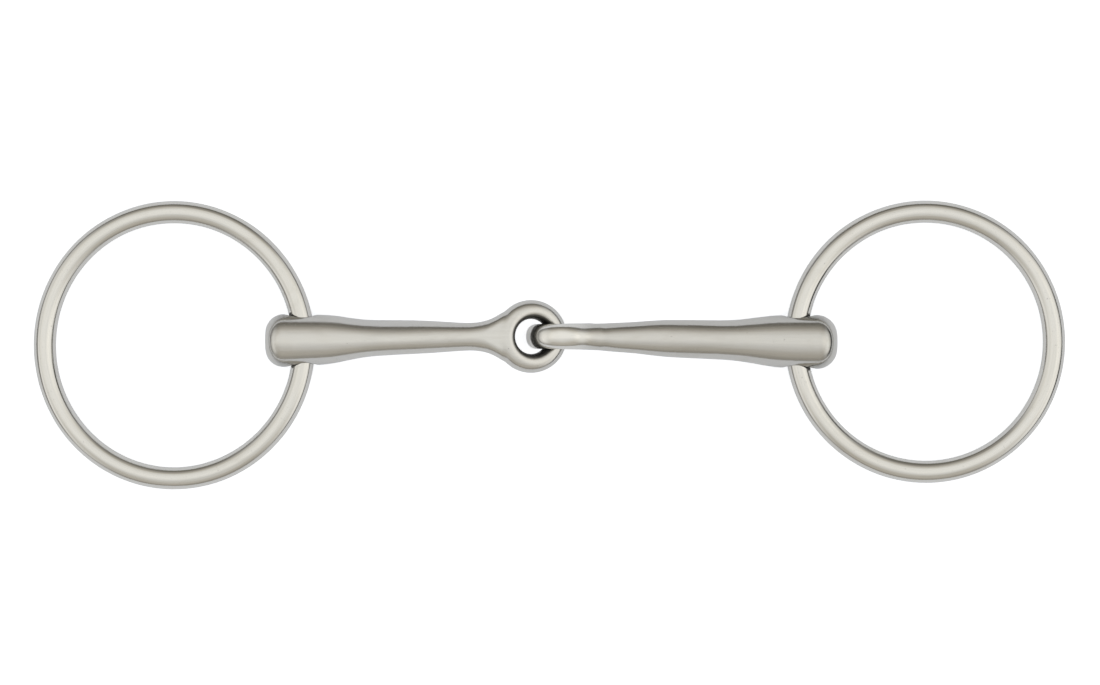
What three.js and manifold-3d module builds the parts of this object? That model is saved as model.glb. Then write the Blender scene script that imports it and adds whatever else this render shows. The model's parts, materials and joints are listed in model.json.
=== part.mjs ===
// Loose-ring, single-jointed snaffle bit. Millimetres, +Z up.
// The bit lies flat: +X runs along the mouthpiece, z = 0 is the surface it rests on,
// and the origin is the middle of its footprint.
import * as THREE from 'three';
import { mergeVertices } from 'three/addons/utils/BufferGeometryUtils.js';
import Module from 'manifold-3d';

const wasm = await Module();
wasm.setup();

// ---- driving dimensions -------------------------------------------------------------
const RING_WIRE = 6.0;           // wire diameter
const LEFT_RING_OD = [76.0, 77.7];   // 3 in cheek ring, welded a little oval: along the arm, and across it
const RIGHT_RING_OD = [75.6, 76.1];  // 3 in cheek ring
const RING_STEPS = 60;
const WIRE_STEPS = 12;

const EYE_HOLE_R = 4.7;          // bore of the joint eyes
const EYE_OUT_R = 9.77;          // outside radius of the joint eyes
const EYE_HALF = 3.35;           // half thickness of the eyes
const LINK = 8.74;               // distance between the centres of the two linked eyes
const EYE_TILT = THREE.MathUtils.degToRad(16);   // the left arm arches up, and its eye leans down to the joint
const LOOP_TILT = THREE.MathUtils.degToRad(22);  // the right arm leaves its standing loop at this slope, and arches the same way

const BUTT_BORE_R = 3.6;         // bore that the ring wire runs through
const LEFT_BORE_AT = 61.19;      // bore axis from the left arm's eye centre
const RIGHT_BORE_AT = 62.94;     // bore axis from the right arm's loop centre
const BUTT_HALF = 7.1;           // half thickness of the butts
const REST_LAND = 0.15;          // depth of the small flat under each butt
const BUTT_Z = BUTT_HALF - REST_LAND;   // height of the butts' axis
const BORE_Z = BUTT_Z - 0.7;     // the bores run a little below it
const LOOP_Z = 9.77;             // the standing loop rests on the surface
const EYE_Z = LOOP_Z + LINK * Math.sin(EYE_TILT);   // the leaning eye's plane passes through the loop's centre
const LEFT_RING_TURN = THREE.MathUtils.degToRad(2.2);   // left ring trails the bowed arm

const JOINT_AT = new THREE.Vector3(-4.90, 2.26, EYE_Z); // eye centre, the centre joint

// Arm profile. Each row: distance from the eye centre, half width in the eye's plane,
// half width across it, and how far the axis has bowed away from the joint.
const LEFT_ARM = [
  [5.60, 5.30, 2.30, 0.00],
  [6.30, 6.25, 3.00, 0.00],
  [7.13, 6.72, 3.28, 0.00],
  [8.00, 6.22, 3.34, 0.00],
  [8.95, 5.58, 3.38, 0.00],
  [9.85, 5.08, 3.42, 0.00],
  [10.90, 4.62, 3.45, 0.00],
  [12.13, 4.20, 3.48, -0.02],
  [13.73, 3.86, 3.54, -0.04],
  [16.13, 3.66, 3.72, -0.08],
  [18.63, 3.76, 3.98, -0.10],
  [22.63, 4.04, 4.42, -0.12],
  [26.63, 4.30, 4.80, -0.14],
  [31.13, 4.52, 5.02, -0.16],
  [36.13, 4.66, 5.12, -0.26],
  [41.13, 4.82, 5.14, -0.40],
  [44.63, 5.04, 5.30, -0.52],
  [47.13, 5.42, 5.56, -0.60],
  [49.63, 5.84, 5.90, -0.68],
  [52.13, 6.34, 6.34, -0.76],
  [55.13, 6.66, 6.66, -0.86],
  [59.13, 6.86, 6.86, -0.96],
  [63.63, 7.02, 7.02, -1.06],
  [66.53, 7.10, 7.08, -1.10],
  [68.13, 6.86, 6.90, -1.12],
  [69.33, 6.32, 6.42, -1.12],
  [70.33, 5.46, 5.60, -1.12],
  [70.98, 4.42, 4.60, -1.12],
  [71.38, 3.10, 3.30, -1.12],
];
const RIGHT_ARM = [
  [5.60, 6.36, 2.60, 0.00],
  [6.30, 6.02, 3.02, -0.02],
  [7.13, 5.70, 3.36, -0.06],
  [8.10, 5.34, 3.48, -0.10],
  [9.10, 4.96, 3.56, -0.12],
  [10.10, 4.54, 3.62, -0.14],
  [11.10, 4.30, 3.68, -0.17],
  [12.10, 4.14, 3.75, -0.20],
  [13.20, 4.02, 3.83, -0.24],
  [14.60, 3.94, 3.92, -0.27],
  [16.71, 3.90, 4.04, -0.28],
  [19.71, 3.96, 4.24, -0.32],
  [23.21, 4.20, 4.60, -0.40],
  [27.41, 4.50, 4.96, -0.52],
  [33.21, 4.76, 5.12, -0.68],
  [38.21, 4.96, 5.20, -0.80],
  [43.21, 5.18, 5.30, -0.96],
  [46.71, 5.50, 5.52, -1.04],
  [49.21, 5.82, 5.84, -1.08],
  [51.71, 6.18, 6.20, -1.14],
  [54.21, 6.58, 6.60, -1.22],
  [57.51, 6.94, 6.98, -1.30],
  [62.21, 7.06, 7.18, -1.40],
  [68.11, 7.08, 7.24, -1.48],
  [69.81, 6.86, 7.00, -1.50],
  [71.31, 6.24, 6.38, -1.50],
  [72.51, 5.34, 5.46, -1.50],
  [73.31, 4.24, 4.36, -1.50],
  [73.81, 2.90, 3.00, -1.50],
];

// Section of an eye: half of it, from the bore outwards (radius, half height).
const EYE_SECTION = [
  [EYE_HOLE_R, 0],
  [EYE_HOLE_R, 0.95],
  [EYE_HOLE_R + 0.30, 2.05],
  [EYE_HOLE_R + 0.95, 2.88],
  [EYE_HOLE_R + 1.80, EYE_HALF],
  [EYE_HOLE_R + 2.75, 3.24],
  [EYE_OUT_R - 1.40, 2.74],
  [EYE_OUT_R - 0.62, 1.96],
  [EYE_OUT_R - 0.15, 1.00],
  [EYE_OUT_R, 0],
];

// ---- helpers ------------------------------------------------------------------------
function solid(geometry) {
  const g = geometry.index ? geometry.clone() : geometry;
  g.deleteAttribute('normal');
  g.deleteAttribute('uv');
  const m = mergeVertices(g, 1e-5);
  const p = m.getAttribute('position').array;
  const ix = m.getIndex().array;
  const tri = [];
  let vol = 0;
  for (let i = 0; i < ix.length; i += 3) {
    const [a, b, c] = [ix[i], ix[i + 1], ix[i + 2]];
    if (a === b || b === c || a === c) continue;
    tri.push(a, b, c);
    const A = [p[3 * a], p[3 * a + 1], p[3 * a + 2]];
    const B = [p[3 * b], p[3 * b + 1], p[3 * b + 2]];
    const C = [p[3 * c], p[3 * c + 1], p[3 * c + 2]];
    vol += A[0] * (B[1] * C[2] - B[2] * C[1]) - A[1] * (B[0] * C[2] - B[2] * C[0])
      + A[2] * (B[0] * C[1] - B[1] * C[0]);
  }
  if (vol < 0) {
    for (let i = 0; i < tri.length; i += 3) [tri[i + 1], tri[i + 2]] = [tri[i + 2], tri[i + 1]];
  }
  return new wasm.Manifold(new wasm.Mesh({
    numProp: 3, vertProperties: new Float32Array(p), triVerts: new Uint32Array(tri),
  }));
}

function geometryOf(manifold) {
  const m = manifold.getMesh();
  const g = new THREE.BufferGeometry();
  const v = new Float32Array(m.vertProperties.length / m.numProp * 3);
  for (let i = 0; i < v.length / 3; i += 1) {
    for (let k = 0; k < 3; k += 1) v[3 * i + k] = m.vertProperties[m.numProp * i + k];
  }
  g.setAttribute('position', new THREE.BufferAttribute(v, 3));
  g.setIndex(new THREE.BufferAttribute(new Uint32Array(m.triVerts), 1));
  g.computeVertexNormals();
  return g;
}

// Turns something lathed about +Y to lie flat and lean down towards +X by EYE_TILT. A standing
// loop stays on edge.
function pose(g, standing) {
  if (!standing) g.rotateX(Math.PI / 2).rotateY(EYE_TILT);
  return g;
}

// A joint eye: a ring of revolution, on edge where standing is true.
function eye(standing) {
  const half = EYE_SECTION.map(([r, z]) => new THREE.Vector2(r, z));
  const section = [...half, ...half.slice(1, -1).reverse().map((q) => new THREE.Vector2(q.x, -q.y))];
  section.push(section[0].clone());
  return solid(pose(new THREE.LatheGeometry(section, 40), standing));
}

// The bore of an eye with its rounded mouths, as a cutter that is a little inside the eye's own wall.
function eyeBore(standing) {
  const r = EYE_HOLE_R;
  const pts = [[0, -6], [r + 2.0, -6], [r + 1.80, -3.40], [r + 0.95, -2.90], [r + 0.30, -2.06], [r, -0.95],
    [r, 0.95], [r + 0.30, 2.06], [r + 0.95, 2.90], [r + 1.80, 3.40], [r + 2.0, 6], [0, 6]]
    .map(([x, y]) => new THREE.Vector2(x, y));
  return solid(pose(new THREE.LatheGeometry(pts, 40), standing));
}

// Height of an arm's axis above its eye centre. It leaves the eye at the given slope and comes
// level again at the butt, drop lower.
function rise(s, slope, drop, level) {
  const t = Math.min(s / level, 1);
  return (t ** 3 - 2 * t * t + t) * slope * level - (3 * t * t - 2 * t ** 3) * drop;
}

// The bar of an arm: a lathed bar, drawn out along +X or -X, with its round sections pressed
// oval, or flat-sided where they are much wider than they are thick. Its axis is bowed in plan
// and follows rise().
function bar(rows, side, axisZ, standing) {
  const pts = [new THREE.Vector2(0, rows[0][0])];
  for (const r of rows) pts.push(new THREE.Vector2(r[1], r[0]));
  pts.push(new THREE.Vector2(0, rows[rows.length - 1][0]));
  const g = new THREE.LatheGeometry(pts, 28);
  const pos = g.getAttribute('position');
  const along = rows.map((r) => r[0]);
  for (let i = 0; i < pos.count; i += 1) {
    const s = pos.getY(i);
    let k = along.findIndex((x) => Math.abs(x - s) < 1e-4);
    if (k < 0) k = s < along[0] ? 0 : rows.length - 1;
    const [, wide, thin, bow] = rows[k];
    const u = pos.getX(i) / wide;
    const v = pos.getZ(i) / wide;
    const hy = standing ? thin : wide;
    const hz = standing ? wide : thin;
    const r = Math.min(hy, hz);
    const flat = Math.min(Math.max((Math.max(hy, hz) / r - 1.15) / 0.5, 0), 1);
    const push = (q) => (1 - flat) * q + flat * Math.min(Math.max(1.7 * q, -1), 1);
    pos.setXYZ(i, side * s, bow + u * r + push(u) * (hy - r), axisZ(s) + v * r + push(v) * (hz - r));
  }
  return solid(g);
}

// The cutter for a butt's bore: a straight bore with belled mouths, so that the curved ring
// can swing and slide in it.
function buttBore() {
  const r = BUTT_BORE_R;
  const pts = [[0, -10], [6.5, -10], [5.8, -8.2], [4.75, -7.0], [4.1, -6.0], [3.78, -4.8], [r, -3.2],
    [r, 3.2], [3.78, 4.8], [4.1, 6.0], [4.75, 7.0], [5.8, 8.2], [6.5, 10], [0, 10]]
    .map(([x, y]) => new THREE.Vector2(x, y));
  return new THREE.LatheGeometry(pts, 32);
}

function bowAt(rows, s) {
  for (let i = 1; i < rows.length; i += 1) {
    if (s <= rows[i][0]) {
      const t = (s - rows[i - 1][0]) / (rows[i][0] - rows[i - 1][0]);
      return rows[i - 1][3] * (1 - t) + rows[i][3] * t;
    }
  }
  return rows[rows.length - 1][3];
}

// ---- arms ---------------------------------------------------------------------------
function arm({ rows, side, boreAt, standing, centre, turn, slope, level }) {
  const bore = buttBore();
  const boreX = side * boreAt;
  const boreY = bowAt(rows, boreAt);
  const eyeZ = JOINT_AT.z + centre.z;
  const boreZ = BORE_Z - eyeZ;
  const axisZ = (s) => rise(s, slope, eyeZ - BUTT_Z, level);
  bore.rotateZ(turn);
  bore.translate(boreX, boreY, boreZ);
  const land = new THREE.BoxGeometry(30, 30, 10);
  land.translate(boreX, boreY, -eyeZ - 5);
  const made = bar(rows, side, axisZ, standing)
    .add(eye(standing))
    .subtract(eyeBore(standing))
    .subtract(solid(bore))
    .subtract(solid(land));
  const g = geometryOf(made);
  g.translate(centre.x, centre.y, centre.z);
  return { g, at: new THREE.Vector3(boreX, boreY, boreZ).add(centre) };
}

const left = arm({
  rows: LEFT_ARM, side: -1, boreAt: LEFT_BORE_AT, standing: false, turn: LEFT_RING_TURN,
  centre: new THREE.Vector3(), slope: Math.tan(EYE_TILT), level: 56,
});
const right = arm({
  rows: RIGHT_ARM, side: 1, boreAt: RIGHT_BORE_AT, standing: true, turn: 0,
  centre: new THREE.Vector3(LINK * Math.cos(EYE_TILT), 0, -LINK * Math.sin(EYE_TILT)),
  slope: Math.tan(LOOP_TILT), level: 58,
});

const steel = (color, roughness) => new THREE.MeshStandardMaterial({ color, roughness, metalness: 1.0 });

function piece(name, geometry, material) {
  const m = new THREE.Mesh(geometry, material);
  m.name = name;
  return m;
}

const bit = new THREE.Group();
const mouthpiece = new THREE.Group();
mouthpiece.position.copy(JOINT_AT);
mouthpiece.add(piece('left_mouthpiece_arm', left.g, steel(0xb4afa5, 0.34)));
mouthpiece.add(piece('right_mouthpiece_arm', right.g, steel(0xb4afa5, 0.32)));
bit.add(mouthpiece);

// ---- rings: each hangs in a group whose origin is its butt's bore ---------------------
function ring(name, at, side, turn, od) {
  const rx = (od[0] - RING_WIRE) / 2;
  const ry = (od[1] - RING_WIRE) / 2;
  const round = (rx + ry) / 2;
  const drop = Math.asin((BORE_Z - RING_WIRE / 2) / (2 * rx)); // the far edge rests on the surface
  const pivot = new THREE.Group();
  pivot.position.copy(at).add(JOINT_AT);
  pivot.rotation.set(0, side * drop, turn, 'ZYX');
  const g = new THREE.TorusGeometry(round, RING_WIRE / 2, WIRE_STEPS, RING_STEPS);
  const pos = g.getAttribute('position');
  for (let i = 0; i < pos.count; i += 1) {
    const u = Math.atan2(pos.getY(i), pos.getX(i));
    pos.setX(i, pos.getX(i) + (rx - round) * Math.cos(u));
    pos.setY(i, pos.getY(i) + (ry - round) * Math.sin(u));
  }
  const wire = piece(name, geometryOf(solid(g)), steel(0xbdb8ae, 0.24));
  wire.position.set(side * rx, 0, 0);
  pivot.add(wire);
  return pivot;
}
bit.add(ring('left_ring', left.at, -1, LEFT_RING_TURN, LEFT_RING_OD));
bit.add(ring('right_ring', right.at, 1, 0, RIGHT_RING_OD));

export default bit;
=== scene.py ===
"""Loose-ring, single-jointed snaffle bit in stainless steel: the finished shapes, surfaces and studio.

The four pieces follow the CAD frame: two mouthpiece arms that are linked eye through eye, and two
cheek rings that run through the butts. Shapes are worked out in millimetres and written in metres.
"""
import json
import math

import bpy
import numpy as np
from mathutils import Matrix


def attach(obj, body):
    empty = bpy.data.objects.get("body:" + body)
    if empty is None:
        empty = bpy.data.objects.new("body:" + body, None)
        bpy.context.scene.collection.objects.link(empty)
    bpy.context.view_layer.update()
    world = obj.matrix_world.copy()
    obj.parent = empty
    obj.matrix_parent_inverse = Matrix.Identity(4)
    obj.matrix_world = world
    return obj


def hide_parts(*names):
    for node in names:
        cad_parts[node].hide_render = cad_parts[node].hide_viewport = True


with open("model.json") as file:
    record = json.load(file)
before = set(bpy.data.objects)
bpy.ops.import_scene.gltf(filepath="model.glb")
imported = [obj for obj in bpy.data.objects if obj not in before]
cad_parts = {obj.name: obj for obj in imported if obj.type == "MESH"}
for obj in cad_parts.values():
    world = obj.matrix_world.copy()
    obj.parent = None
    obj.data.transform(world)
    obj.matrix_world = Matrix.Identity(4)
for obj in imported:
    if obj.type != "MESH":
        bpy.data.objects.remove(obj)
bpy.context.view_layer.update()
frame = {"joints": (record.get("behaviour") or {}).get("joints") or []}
scene = bpy.context.scene
MM = 0.001

joint = {j["name"]: j for j in frame["joints"]}
JOINT_AT = np.array(joint["centre_joint"]["pos_m"]) / MM
LEFT_BORE = np.array(joint["left_ring_swing"]["pos_m"]) / MM
RIGHT_BORE = np.array(joint["right_ring_swing"]["pos_m"]) / MM

# ---- driving dimensions, mm ------------------------------------------------------------
WIRE_R = 3.0
LEFT_RING_HALF = (35.0, 35.85)   # centre line of the wire: along the arm, and across it
RIGHT_RING_HALF = (34.8, 35.05)
EYE_HOLE_R, EYE_CREST_R, EYE_OUT_R, EYE_HALF = 4.7, 6.75, 9.77, 3.35
EYE_POWER = 2.2                  # how square the section of an eye's wire is
LINK = 8.74                      # between the centres of the two linked eyes
AXIS = joint["centre_joint"]["axis"]
EYE_TILT = math.atan2(AXIS[0], AXIS[2])   # the left arm's eye leans down to the joint
LOOP_TILT = math.radians(22.0)    # the right arm leaves its standing loop at this slope
LEFT_TURN = math.atan2(-joint["left_ring_swing"]["axis"][0], joint["left_ring_swing"]["axis"][1])
BUTT_Z = 6.95                    # height of the butts' axis
# the bore through a butt: radius against distance from its middle
BORE = [(0.0, 3.40), (3.2, 3.42), (4.8, 3.52), (6.0, 3.68), (7.0, 3.88), (8.2, 4.25), (12.0, 5.8)]

# distance from the eye's centre, half width in the eye's plane, half width across it, bow
LEFT_ARM = [
    (5.60, 5.30, 2.30, 0.00), (6.30, 6.25, 3.00, 0.00), (7.13, 6.72, 3.28, 0.00),
    (8.00, 6.22, 3.34, 0.00), (8.95, 5.58, 3.38, 0.00), (9.85, 5.08, 3.42, 0.00),
    (10.90, 4.62, 3.45, 0.00), (12.13, 4.20, 3.48, -0.02), (13.73, 3.86, 3.54, -0.04),
    (16.13, 3.66, 3.72, -0.08), (18.63, 3.76, 3.98, -0.10), (22.63, 4.04, 4.42, -0.12),
    (26.63, 4.30, 4.80, -0.14), (31.13, 4.52, 5.02, -0.16), (36.13, 4.66, 5.12, -0.26),
    (41.13, 4.82, 5.14, -0.40), (44.63, 5.04, 5.30, -0.52), (47.13, 5.42, 5.56, -0.60),
    (49.63, 5.84, 5.90, -0.68), (52.13, 6.34, 6.34, -0.76), (55.13, 6.66, 6.66, -0.86),
    (59.13, 6.86, 6.86, -0.96), (63.63, 7.02, 7.02, -1.06), (66.53, 7.10, 7.08, -1.10),
    (82.00, 7.12, 7.10, -1.12),
]
RIGHT_ARM = [
    (0.00, 8.20, 2.90, 0.00), (1.00, 8.42, 2.92, 0.00), (2.00, 8.44, 2.95, 0.00),
    (3.00, 8.14, 2.98, 0.00), (4.00, 7.60, 3.02, 0.00),
    (5.00, 6.97, 3.08, 0.00), (5.60, 6.57, 3.12, 0.00), (6.30, 6.20, 3.20, -0.02),
    (7.13, 5.86, 3.34, -0.06), (8.10, 5.53, 3.46, -0.10), (9.10, 5.18, 3.55, -0.12),
    (10.10, 4.82, 3.62, -0.14), (11.10, 4.47, 3.68, -0.17), (12.10, 4.20, 3.75, -0.20),
    (13.20, 4.04, 3.83, -0.24), (14.60, 3.94, 3.92, -0.27), (16.71, 3.90, 4.04, -0.28), (19.71, 3.96, 4.24, -0.32),
    (23.21, 4.20, 4.60, -0.40), (27.41, 4.50, 4.96, -0.52), (33.21, 4.76, 5.12, -0.68),
    (38.21, 4.96, 5.20, -0.80), (43.21, 5.18, 5.30, -0.96), (46.71, 5.50, 5.52, -1.04),
    (49.21, 5.82, 5.84, -1.08), (51.71, 6.18, 6.20, -1.14), (54.21, 6.58, 6.60, -1.22),
    (57.51, 6.94, 6.98, -1.30), (62.21, 7.06, 7.18, -1.40), (68.11, 7.08, 7.24, -1.48),
    (82.00, 7.08, 7.24, -1.50),
]


# ---- smooth solids as distance functions -------------------------------------------------
def table(rows, col, spread):
    """A smooth curve through a table, looked up every 0.05 mm."""
    at = np.arange(-4.0, 90.0, 0.05)
    v = np.interp(at, [r[0] for r in rows], [r[col] for r in rows])
    n = int(4 * spread / 0.05)
    k = np.exp(-0.5 * (np.arange(-n, n + 1) * 0.05 / spread) ** 2)
    v = np.convolve(np.pad(v, n, "edge"), k / k.sum(), "valid")
    return lambda s: np.interp(s, at, v)


def join(a, b, k):
    h = np.maximum(k - np.abs(a - b), 0.0) / k
    return np.minimum(a, b) - h**3 * k / 6


def cut(a, b, k):
    """a without b."""
    return -join(-a, b, k)


def rounded_corner(a, b, r):
    """Where both are inside, with the edge between them rounded to r."""
    u, v = np.maximum(a + r, 0.0), np.maximum(b + r, 0.0)
    return np.minimum(np.maximum(a, b), -r) + np.sqrt(u * u + v * v)


def section(y, z, hy, hz):
    """A bar's section: oval where it is nearly round, flat-sided where it is much wider than thick."""
    q = np.sqrt((y / hy) ** 2 + (z / hz) ** 2) + 1e-6
    g = np.sqrt((y / hy**2) ** 2 + (z / hz**2) ** 2) + 1e-6
    r = np.minimum(hy, hz)
    flat = np.hypot(np.maximum(np.abs(y) - (hy - r), 0.0), np.maximum(np.abs(z) - (hz - r), 0.0)) - r
    k = np.clip((np.maximum(hy, hz) / r - 1.06) / 0.3, 0.0, 1.0)
    k = k * k * (3 - 2 * k)
    return (1 - k) * (q - 1.0) * q / g + k * flat


def rise(s, slope, drop, level):
    """Height of an arm's axis above its eye: it leaves at a slope and comes level at the butt."""
    t = np.clip(s / level, -0.3, 1.0)
    return (t**3 - 2 * t * t + t) * slope * level - (3 * t * t - 2 * t**3) * drop


def eye_distance(r, h):
    u = r - EYE_CREST_R
    w = np.where(u < 0, EYE_CREST_R - EYE_HOLE_R, EYE_OUT_R - EYE_CREST_R)
    q = (np.abs(u / w) ** EYE_POWER + np.abs(h / EYE_HALF) ** EYE_POWER) ** (1 / EYE_POWER) + 1e-6
    return np.sqrt(u * u + h * h) * (1.0 - 1.0 / q)


def arm_solid(rows, side, centre, bore_at, standing, end, corner, turn, slope, level):
    """The distance function of one arm, in world millimetres."""
    in_plane, across, bow = (table(rows, c, s) for c, s in ((1, 0.9), (2, 0.9), (3, 2.5)))
    drop = centre[2] - BUTT_Z
    tilt = 0.0 if standing else EYE_TILT
    lean_c, lean_s = math.cos(tilt), math.sin(tilt)
    bore_r = table(BORE, 1, 0.5)
    push, push_at, push_over = (0.06, 14.0, 9.0) if standing else (0.11, 36.0, 15.0)   # a forged bar's crest lies off its middle
    ct, st = math.cos(turn), math.sin(turn)

    def bore(p):
        """Distance from the wall of the butt's bore, which opens further on its outer side."""
        bx, by, bz = (p[..., i] - bore_at[i] for i in range(3))
        along, off = -st * bx + ct * by, ct * bx + st * by
        mouth = np.clip((np.abs(along) - 4.6) / 2.6, 0.0, 1.0)
        off = np.where(off * side > 0, off * (1.0 - 0.20 * mouth * mouth), off)
        return np.sqrt(off * off + bz * bz) - bore_r(np.abs(along))

    def unpolished_and_painted_shade(p):
        """1 on the walls of the eye's hole and of the bore, where no mop reaches: these walls are made rougher,
        and their colour is painted darker as painted shade.
        """
        x, y, z = (p[..., i] - centre[i] for i in range(3))
        lx = lean_c * x - lean_s * z
        r = np.sqrt(x * x + z * z) if standing else np.sqrt(lx * lx + y * y)
        return np.maximum(np.clip((6.12 - r) / 0.30, 0.0, 1.0), np.clip((0.50 - bore(p)) / 0.30, 0.0, 1.0))

    def solid(p):
        x, y, z = (p[..., i] - centre[i] for i in range(3))
        s = side * x
        wide, thin = in_plane(s), across(s)
        hy, hz = (thin, wide) if standing else (wide, thin)
        y_in = y - bow(s)
        skew = push * np.exp(-(((s - push_at) / push_over) ** 2)) * y_in
        bar = section(y_in, z - rise(s, slope, drop, level) + skew, hy, hz)
        bar = rounded_corner(bar, s - end, corner)
        if standing:   # the bar reaches up over the loop, clear of its hole
            bar = rounded_corner(bar, np.maximum(5.0 - np.sqrt(x * x + z * z), 0.6 - s), 0.8)
        else:
            bar = rounded_corner(bar, 5.7 - s, 0.8)
        if standing:
            eye = eye_distance(np.sqrt(x * x + z * z), y)
        else:
            lx, lz = lean_c * x - lean_s * z, lean_s * x + lean_c * z
            eye = eye_distance(np.sqrt(lx * lx + y * y), lz)
        d = join(bar, eye, 1.5 + (1.2 * np.exp(-((y / 2.4) ** 2)) if standing else 0.0))
        d = cut(d, bore(p), 0.5)
        return cut(d, p[..., 2] - 0.0, 0.12)

    return solid, unpolished_and_painted_shade


def slope_of(solid, p, e=0.04):
    g = np.empty_like(p)
    for i in range(3):
        step = np.zeros(3)
        step[i] = e
        g[:, i] = (solid(p + step) - solid(p - step)) / (2 * e)
    return g


def skin(solid, lo, hi, pitch, rounds=4):
    """A closed mesh of four-sided faces on the surface of a solid, and its normals."""
    axes = [np.arange(lo[i], hi[i] + pitch, pitch) for i in range(3)]
    grid = np.stack(np.meshgrid(*axes, indexing="ij"), -1)
    d = np.empty(grid.shape[:3])
    for i in range(0, grid.shape[0], 24):
        d[i:i + 24] = solid(grid[i:i + 24])
    inside = d < 0
    nx, ny, nz = d.shape
    corner = [(i, j, k) for i in (0, 1) for j in (0, 1) for k in (0, 1)]
    at = {c: (slice(c[0], nx - 1 + c[0]), slice(c[1], ny - 1 + c[1]), slice(c[2], nz - 1 + c[2])) for c in corner}
    count = sum(inside[at[c]].astype(np.int8) for c in corner)
    active = (count > 0) & (count < 8)
    cells = np.argwhere(active)
    number = np.full(active.shape, -1, np.int64)
    number[active] = np.arange(len(cells))
    total = np.zeros((len(cells), 3))
    hits = np.zeros(len(cells))
    for a in corner:
        for axis in range(3):
            if a[axis]:
                continue
            b = tuple(1 if i == axis else a[i] for i in range(3))
            da = d[cells[:, 0] + a[0], cells[:, 1] + a[1], cells[:, 2] + a[2]]
            db = d[cells[:, 0] + b[0], cells[:, 1] + b[1], cells[:, 2] + b[2]]
            crosses = (da < 0) != (db < 0)
            t = np.where(crosses, da / np.where(crosses, da - db, 1.0), 0.0)
            point = np.array(a, float)[None, :] + t[:, None] * np.eye(3)[axis][None, :]
            total[crosses] += point[crosses]
            hits += crosses
    co = (cells + total / hits[:, None]) * pitch + np.array(lo)
    faces = []
    for axis in range(3):
        u, v = (axis + 1) % 3, (axis + 2) % 3
        near = [slice(None)] * 3
        far = [slice(None)] * 3
        near[axis], far[axis] = slice(0, -1), slice(1, None)
        a, b = inside[tuple(near)], inside[tuple(far)]
        for flip, mask in ((False, a & ~b), (True, ~a & b)):
            e = np.argwhere(mask)
            e = e[(e[:, u] > 0) & (e[:, v] > 0) & (e[:, u] < d.shape[u] - 1) & (e[:, v] < d.shape[v] - 1)]
            ring = []
            for du, dv in ((0, 0), (1, 0), (1, 1), (0, 1)):
                c = e.copy()
                c[:, u] -= 1 - du
                c[:, v] -= 1 - dv
                ring.append(number[c[:, 0], c[:, 1], c[:, 2]])
            quad = np.stack(ring, 1)
            faces.append(quad[:, ::-1] if flip else quad)
    faces = np.concatenate(faces)
    edge = np.concatenate([faces[:, [0, 1]], faces[:, [1, 2]], faces[:, [2, 3]], faces[:, [3, 0]]])

    def settle(p):
        for _ in range(2):
            g = slope_of(solid, p)
            p = p - solid(p)[:, None] * g / np.maximum((g * g).sum(1), 1e-6)[:, None]
        return p

    co = settle(co)
    for _ in range(rounds):
        near = np.zeros_like(co)
        deg = np.zeros(len(co))
        for i, j in ((0, 1), (1, 0)):
            for k in range(3):
                near[:, k] += np.bincount(edge[:, i], co[edge[:, j], k], len(co))
            deg += np.bincount(edge[:, i], minlength=len(co))
        move = near / deg[:, None] - co
        g = slope_of(solid, co)
        n = g / np.linalg.norm(g, axis=1)[:, None]
        move -= (move * n).sum(1)[:, None] * n
        co = settle(co + 0.6 * move)
    g = slope_of(solid, co)
    return co, faces, g / np.linalg.norm(g, axis=1)[:, None]


def piece(name, co, faces, normals, grain, dull_and_painted_shade, material):
    me = bpy.data.meshes.new(name)
    me.from_pydata((co * MM).tolist(), [], faces.tolist())
    me.update()
    me.polygons.foreach_set("use_smooth", np.ones(len(faces), bool))
    a = me.attributes.new("grain_at", "FLOAT_VECTOR", "POINT")
    a.data.foreach_set("vector", grain.astype(np.float32).ravel())
    # 1 where the colour is painted darker as shade inside holes and bores, and the steel made rougher
    a = me.attributes.new("unpolished_and_painted_shade", "FLOAT", "POINT")
    a.data.foreach_set("value", dull_and_painted_shade.astype(np.float32))
    me.normals_split_custom_set_from_vertices(normals.tolist())
    me.materials.append(material)
    ob = bpy.data.objects.new(name, me)
    scene.collection.objects.link(ob)
    return ob


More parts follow.
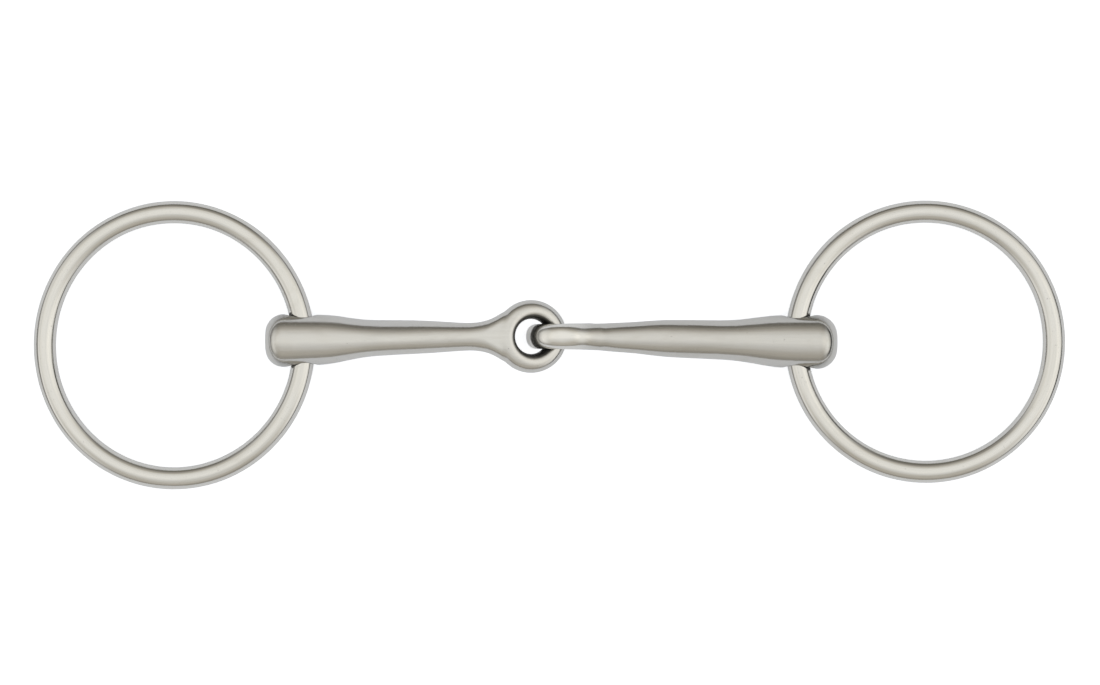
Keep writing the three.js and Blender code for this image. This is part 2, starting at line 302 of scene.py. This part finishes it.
# ---- steel --------------------------------------------------------------------------------
def steel(name, colour, rough, seed, wave, flats, grain_rough, grain_depth, painted_highlight=0.0):
    """Stainless steel with the marks of its polishing. The grain runs along the arm or the wire:
    fine scratches, broader streaks, slow waves left by the mop, smears and a few pits."""
    m = bpy.data.materials.new(name)
    m.use_nodes = True
    t = m.node_tree
    t.nodes.clear()
    out = t.nodes.new("ShaderNodeOutputMaterial")
    b = t.nodes.new("ShaderNodeBsdfPrincipled")
    t.links.new(b.outputs[0], out.inputs[0])
    b.inputs["Metallic"].default_value = 1.0
    where = t.nodes.new("ShaderNodeAttribute")
    where.attribute_name = "grain_at"
    inner = t.nodes.new("ShaderNodeAttribute")
    inner.attribute_name = "unpolished_and_painted_shade"

    def noise(scale, size=1.0, detail=2.0, gain=0.5, distortion=0.0, turn=(0.0, 0.0, 0.0), shift=0.0):
        mp = t.nodes.new("ShaderNodeMapping")
        mp.inputs["Scale"].default_value = scale
        mp.inputs["Rotation"].default_value = turn
        mp.inputs["Location"].default_value = (seed * 3.1 + shift, seed * 1.7 - shift, seed * 2.3)
        t.links.new(where.outputs["Vector"], mp.inputs["Vector"])
        n = t.nodes.new("ShaderNodeTexNoise")
        n.inputs["Scale"].default_value = size
        n.inputs["Detail"].default_value = detail
        n.inputs["Roughness"].default_value = gain
        n.inputs["Distortion"].default_value = distortion
        t.links.new(mp.outputs[0], n.inputs["Vector"])
        return n.outputs["Fac"]

    def span(v, a, b_, c, d):
        n = t.nodes.new("ShaderNodeMapRange")
        n.interpolation_type = "SMOOTHSTEP"
        for i, x in enumerate((a, b_, c, d)):
            n.inputs[i + 1].default_value = x
        t.links.new(v, n.inputs[0])
        return n.outputs[0]

    def calc(op, *args):
        n = t.nodes.new("ShaderNodeMath")
        n.operation = op
        for i, x in enumerate(args):
            if isinstance(x, (int, float)):
                n.inputs[i].default_value = x
            else:
                t.links.new(x, n.inputs[i])
        return n.outputs[0]

    fine = noise((0.30, 9.0, 9.0), detail=3.0, gain=0.6, distortion=0.15)
    fine_2 = noise((0.55, 7.0, 7.0), detail=2.0, gain=0.6, turn=(0.3, 0.0, 0.16), shift=7.0)
    streak = noise((0.045, 1.5, 1.5), detail=3.0, gain=0.55, distortion=0.3, shift=3.0)
    wave_1 = noise((0.22, 0.34, 0.34), detail=2.0, gain=0.45, shift=11.0)
    smear = noise((0.07, 0.12, 0.12), detail=4.0, gain=0.6, distortion=1.1, shift=19.0)
    pits = noise((2.2, 2.2, 2.2), detail=1.0, gain=0.4, shift=23.0)
    facet = noise((0.02, 0.80, 0.80), detail=2.0, gain=0.5, distortion=0.1, shift=31.0)
    scale = noise((0.9, 0.9, 0.9), detail=3.0, gain=0.6, shift=41.0)

    scratch = calc("MULTIPLY_ADD", fine, 0.6, calc("MULTIPLY", fine_2, 0.4))
    smeared = span(smear, 0.50, 0.74, 0.0, 1.0)
    pit = span(pits, 0.735, 0.80, 0.0, 1.0)

    # colour: clouded by a few per cent, dulled in the scratches, smears and pits
    shade = calc("MULTIPLY_ADD", streak, 0.10, 0.95)
    shade = calc("MULTIPLY", shade, calc("MULTIPLY_ADD", scratch, 0.12, 0.94))
    shade = calc("MULTIPLY", shade, calc("MULTIPLY_ADD", smeared, -0.05, 1.0))
    shade = calc("MULTIPLY", shade, calc("MULTIPLY_ADD", pit, -0.35, 1.0))
    # painted highlight: the colour is made up to 26% lighter over the loop, fading out 9 mm along the arm,
    # standing in for a brighter reflection there
    if painted_highlight:
        place = t.nodes.new("ShaderNodeSeparateXYZ")
        t.links.new(where.outputs["Vector"], place.inputs[0])
        near_joint = span(place.outputs[0], 3.0, 9.0, 1.0, 0.0)
        shade = calc("MULTIPLY", shade, calc("MULTIPLY_ADD", near_joint, painted_highlight, 1.0))
    # painted shade: the walls of the eye's hole and of the bore are painted up to 92% darker as the shade in these
    # hollows; the scale noise only varies how dark
    raw_and_painted_shade = calc("MULTIPLY", inner.outputs["Fac"], calc("MULTIPLY_ADD", scale, -0.30, 0.98))
    shade = calc("MULTIPLY", shade, calc("MULTIPLY_ADD", raw_and_painted_shade, -0.92, 1.0))
    warm = t.nodes.new("ShaderNodeMix")
    warm.data_type = "RGBA"
    t.links.new(smear, warm.inputs["Factor"])
    warm.inputs[6].default_value = (colour[0] * 0.985, colour[1] * 0.995, colour[2] * 1.012, 1.0)
    warm.inputs[7].default_value = (colour[0] * 1.012, colour[1] * 1.0, colour[2] * 0.975, 1.0)
    tint = t.nodes.new("ShaderNodeMix")
    tint.data_type = "RGBA"
    tint.blend_type = "MULTIPLY"
    tint.inputs["Factor"].default_value = 1.0
    grey = t.nodes.new("ShaderNodeCombineColor")
    for i in range(3):
        t.links.new(shade, grey.inputs[i])
    t.links.new(warm.outputs[2], tint.inputs[6])
    t.links.new(grey.outputs[0], tint.inputs[7])
    t.links.new(tint.outputs[2], b.inputs["Base Color"])

    # roughness: the mop's streaks, the scratches and the smears
    r = calc("MULTIPLY_ADD", scratch, grain_rough, rough - grain_rough / 2)
    r = calc("ADD", r, calc("MULTIPLY_ADD", streak, 0.07, -0.035))
    r = calc("ADD", r, calc("MULTIPLY", smeared, 0.05))
    r = calc("ADD", r, calc("MULTIPLY", pit, 0.2))
    # the same mask also makes these walls rougher
    r = calc("ADD", r, calc("MULTIPLY", raw_and_painted_shade, 0.28))
    t.links.new(r, b.inputs["Roughness"])

    # relief: slow waves of the hand polish, then scratches and pits
    bump_1 = t.nodes.new("ShaderNodeBump")
    bump_1.inputs["Strength"].default_value = 1.0
    bump_1.inputs["Distance"].default_value = wave
    t.links.new(calc("MULTIPLY_ADD", facet, flats / wave, wave_1), bump_1.inputs["Height"])
    bump_2 = t.nodes.new("ShaderNodeBump")
    bump_2.inputs["Strength"].default_value = 1.0
    bump_2.inputs["Distance"].default_value = grain_depth
    t.links.new(calc("SUBTRACT", scratch, calc("MULTIPLY", pit, 1.5)), bump_2.inputs["Height"])
    t.links.new(bump_1.outputs[0], bump_2.inputs["Normal"])
    t.links.new(bump_2.outputs[0], b.inputs["Normal"])
    return m


arm_steel = steel("satin_steel_arms", (0.575, 0.568, 0.550), 0.17, 1.0, 2.2e-5, 1.6e-5, 0.10, 1.6e-6)
# the right arm's steel carries a painted highlight over its loop
arm_steel_2 = steel("satin_steel_arms_right", (0.545, 0.538, 0.520), 0.155, 5.0, 2.2e-5, 1.6e-5, 0.10, 1.6e-6, painted_highlight=0.26)
ring_steel = steel("polished_steel_rings", (0.635, 0.627, 0.606), 0.10, 2.0, 1.4e-5, 7.0e-5, 0.06, 1.0e-6)
ring_steel_2 = steel("polished_steel_rings_right", (0.635, 0.627, 0.606), 0.095, 3.0, 1.4e-5, 7.0e-5, 0.06, 1.0e-6)


# ---- arms ---------------------------------------------------------------------------------
def arm(name, rows, side, centre, bore_at, standing, end, corner, turn, slope, level, material, body, node):
    solid, unpolished_and_painted_shade = arm_solid(rows, side, centre, bore_at, standing, end, corner, turn, slope, level)
    reach = (side * (end + 0.8), -side * (EYE_OUT_R + 0.8))
    lo = (centre[0] + min(reach), centre[1] - 11.2, 0.0 - 0.8)
    hi = (centre[0] + max(reach), centre[1] + 11.2, 20.6)
    co, faces, normals = skin(solid, lo, hi, 0.27)
    grain = co - np.array(centre)
    ob = piece(name, co, faces, normals, grain, unpolished_and_painted_shade(co), material)
    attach(ob, body)
    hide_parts(node)
    return ob


left_centre = JOINT_AT
right_centre = JOINT_AT + LINK * np.array([math.cos(EYE_TILT), 0.0, -math.sin(EYE_TILT)])
arm("left_arm_steel", LEFT_ARM, -1, left_centre, LEFT_BORE, False, 71.38, 4.85, LEFT_TURN,
    math.tan(EYE_TILT), 56.0, arm_steel, "left_arm", "left_mouthpiece_arm")
arm("right_arm_steel", RIGHT_ARM, 1, right_centre, RIGHT_BORE, True, 73.81, 5.4, 0.0,
    math.tan(LOOP_TILT), 58.0, arm_steel_2, "right_arm", "right_mouthpiece_arm")


# ---- rings --------------------------------------------------------------------------------
def ring(name, bore_at, side, turn, half, material, body, node, phase):
    """A round wire bent to a ring, a little oval, with its weld dressed back inside the butt."""
    steps, around = 420, 48
    rx, ry = half
    u = np.arange(steps) / steps * 2 * math.pi
    v = np.arange(around) / around * 2 * math.pi
    U, V = np.meshgrid(u, v, indexing="ij")
    sway = 0.05 * np.sin(2 * U + phase) + 0.03 * np.sin(3 * U + 2.1 * phase)
    rise = 0.035 * np.sin(2 * U + 0.7 * phase)
    wire = WIRE_R * (1 + 0.004 * np.sin(5 * U + phase) + 0.003 * np.sin(9 * U))

    def surface(U, V):
        cu, su = np.cos(U), np.sin(U)
        return np.stack([(rx + sway) * cu + wire * np.cos(V) * cu,
                         (ry + sway) * su + wire * np.cos(V) * su,
                         rise + wire * np.sin(V)], -1)

    co = surface(U, V)
    du = (np.roll(co, -1, 0) - np.roll(co, 1, 0))
    dv = (np.roll(co, -1, 1) - np.roll(co, 1, 1))
    n = np.cross(du, dv)
    n /= np.linalg.norm(n, axis=-1)[..., None]
    co[..., 0] += side * rx
    drop = math.asin((bore_at[2] - WIRE_R) / (2 * rx))
    a = side * drop
    ry_m = np.array([[math.cos(a), 0, math.sin(a)], [0, 1, 0], [-math.sin(a), 0, math.cos(a)]])
    rz_m = np.array([[math.cos(turn), -math.sin(turn), 0], [math.sin(turn), math.cos(turn), 0], [0, 0, 1]])
    m = rz_m @ ry_m
    co = co.reshape(-1, 3) @ m.T + bore_at
    n = n.reshape(-1, 3) @ m.T
    i = np.arange(steps)[:, None]
    j = np.arange(around)[None, :]
    i2, j2 = (i + 1) % steps, (j + 1) % around
    faces = np.stack([i * around + j, i2 * around + j, i2 * around + j2, i * around + j2], -1).reshape(-1, 4)
    # the grain follows the wire, and its two ends meet in the bore
    from_bore = (U if side > 0 else U) if side < 0 else (U + math.pi) % (2 * math.pi)
    grain = np.stack([from_bore * rx, WIRE_R * np.cos(V), WIRE_R * np.sin(V)], -1).reshape(-1, 3)
    ob = piece(name, co, faces, n, grain, np.zeros(len(co)), material)
    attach(ob, body)
    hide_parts(node)
    return ob


ring("left_ring_steel", LEFT_BORE, -1, LEFT_TURN, LEFT_RING_HALF, ring_steel, "left_cheek_ring", "left_ring", 0.6)
ring("right_ring_steel", RIGHT_BORE, 1, 0.0, RIGHT_RING_HALF, ring_steel_2, "right_cheek_ring", "right_ring", 2.3)

# ---- floor ----------------------------------------------------------------------------------
fm = bpy.data.meshes.new("floor")
fm.from_pydata([(-7, -7, 0), (7, -7, 0), (7, 7, 0), (-7, 7, 0)], [], [(0, 1, 2, 3)])
floor = bpy.data.objects.new("floor", fm)
scene.collection.objects.link(floor)
paper = bpy.data.materials.new("floor_paper")
paper.use_nodes = True
pt = paper.node_tree
pb = pt.nodes["Principled BSDF"]
pb.inputs["Base Color"].default_value = (0.80, 0.825, 0.89, 1.0)
pb.inputs["Roughness"].default_value = 1.0
pb.inputs["Specular IOR Level"].default_value = 0.0
pb.inputs["Emission Color"].default_value = (0.985, 0.995, 1.0, 1.0)
path = pt.nodes.new("ShaderNodeLightPath")
glow = pt.nodes.new("ShaderNodeMapRange")
glow.inputs[3].default_value = 0.11
glow.inputs[4].default_value = 0.62
pt.links.new(path.outputs["Is Camera Ray"], glow.inputs[0])
pt.links.new(glow.outputs[0], pb.inputs["Emission Strength"])
fm.materials.append(paper)

# ---- studio: a soft white room, brightest overhead, with a soft box to each side --------------
world = bpy.data.worlds.new("studio")
scene.world = world
world.use_nodes = True
wt = world.node_tree
wt.nodes.clear()


def wnode(kind, **values):
    n = wt.nodes.new(kind)
    for k, v in values.items():
        setattr(n, k, v)
    return n


def wmath(op, *args, clamp=False):
    n = wnode("ShaderNodeMath", operation=op, use_clamp=clamp)
    for i, x in enumerate(args):
        if isinstance(x, (int, float)):
            n.inputs[i].default_value = x
        else:
            wt.links.new(x, n.inputs[i])
    return n.outputs[0]


def wspan(v, a, b, c, d):
    n = wnode("ShaderNodeMapRange", interpolation_type="SMOOTHSTEP")
    for i, x in enumerate((a, b, c, d)):
        n.inputs[i + 1].default_value = x
    wt.links.new(v, n.inputs[0])
    return n.outputs[0]


tc = wnode("ShaderNodeTexCoord")
sep = wnode("ShaderNodeSeparateXYZ")
wt.links.new(tc.outputs["Generated"], sep.inputs[0])
dx, dy, dz = sep.outputs
ramp = wnode("ShaderNodeValToRGB")
ramp.color_ramp.interpolation = "EASE"
STOPS = [  # sine of the elevation, brightness
    (0.00, 0.26), (0.20, 0.31), (0.45, 0.47), (0.63, 0.65), (0.78, 0.84), (0.92, 0.98), (1.00, 1.02),
]
els = ramp.color_ramp.elements
while len(els) < len(STOPS):
    els.new(0.5)
for e, (at, bright) in zip(els, STOPS):
    e.position = at
    e.color = (bright, bright, bright, 1.0)
wt.links.new(dz, ramp.inputs[0])
across_x = wmath("ABSOLUTE", dx)
low = wspan(dz, 0.15, 0.95, 1.0, 0.0)                      # 1 near the horizon, 0 overhead
tilt = wmath("MULTIPLY_ADD", wmath("MULTIPLY", dy, low), -0.32, 1.0)
front = wmath("MULTIPLY", wspan(dy, -0.50, -0.06, 1.0, 0.0), wspan(dz, 0.35, 0.65, 0.0, 1.0))
tilt = wmath("MULTIPLY", tilt, wmath("MULTIPLY_ADD", front, -0.16, 1.0))
side_box = wmath("MULTIPLY", wspan(across_x, 0.28, 0.85, 0.0, 1.0), wspan(dz, 0.30, 0.62, 0.0, 1.0))
right_box = wmath("MULTIPLY", side_box, wspan(dx, 0.0, 0.4, 0.28, 0.60))
level = wmath("MULTIPLY", tilt, wmath("ADD", right_box, 1.0))
side = wmath("MULTIPLY", wspan(across_x, 0.45, 0.90, 0.0, 1.0), wspan(dz, 0.30, 0.70, 1.0, 0.0))
level = wmath("MULTIPLY", level, wmath("MULTIPLY_ADD", side, 1.15, 1.0))
# a dark strip low at each end, darker on the right
card = wmath("MULTIPLY", wspan(across_x, 0.55, 0.85, 0.0, 1.0), wspan(dz, 0.15, 0.22, 1.0, 0.0))
card = wmath("MULTIPLY", card, wspan(dx, -0.1, 0.1, 0.55, 0.98))
level = wmath("MULTIPLY", level, wmath("MULTIPLY_ADD", card, -1.0, 1.0))
level = wmath("MULTIPLY", level, ramp.outputs[0])
tint = wnode("ShaderNodeMix", data_type="RGBA")
tint.inputs[6].default_value = (1.0, 0.945, 0.83, 1.0)
tint.inputs[7].default_value = (1.0, 0.988, 0.94, 1.0)
wt.links.new(wmath("MAXIMUM", wspan(dz, 0.45, 0.95, 0.0, 1.0), wspan(across_x, 0.30, 0.75, 0.0, 0.9)), tint.inputs["Factor"])
bg = wnode("ShaderNodeBackground")
wt.links.new(tint.outputs[2], bg.inputs["Color"])
wt.links.new(wmath("MULTIPLY", level, 1.12), bg.inputs["Strength"])
pale = wnode("ShaderNodeBackground")
pale.inputs["Color"].default_value = (1.0, 1.0, 1.0, 1.0)
pale.inputs["Strength"].default_value = 1.0
path = wnode("ShaderNodeLightPath")
mix = wnode("ShaderNodeMixShader")
wt.links.new(path.outputs["Is Camera Ray"], mix.inputs[0])
wt.links.new(bg.outputs[0], mix.inputs[1])
wt.links.new(pale.outputs[0], mix.inputs[2])
wout = wnode("ShaderNodeOutputWorld")
wt.links.new(mix.outputs[0], wout.inputs[0])

# ---- camera: straight down on the bit --------------------------------------------------------
AWAY, FRAME_W = 1.2, 0.2955
cam_data = bpy.data.cameras.new("camera")
cam_data.sensor_width = 36.0
cam_data.lens = 36.0 * AWAY / FRAME_W
cam_data.clip_start, cam_data.clip_end = 0.01, 60.0
cam = bpy.data.objects.new("camera", cam_data)
cam.location = (0.000155, 0.000643, AWAY + 0.007)
scene.collection.objects.link(cam)
scene.camera = cam
scene.view_settings.view_transform = "Standard"
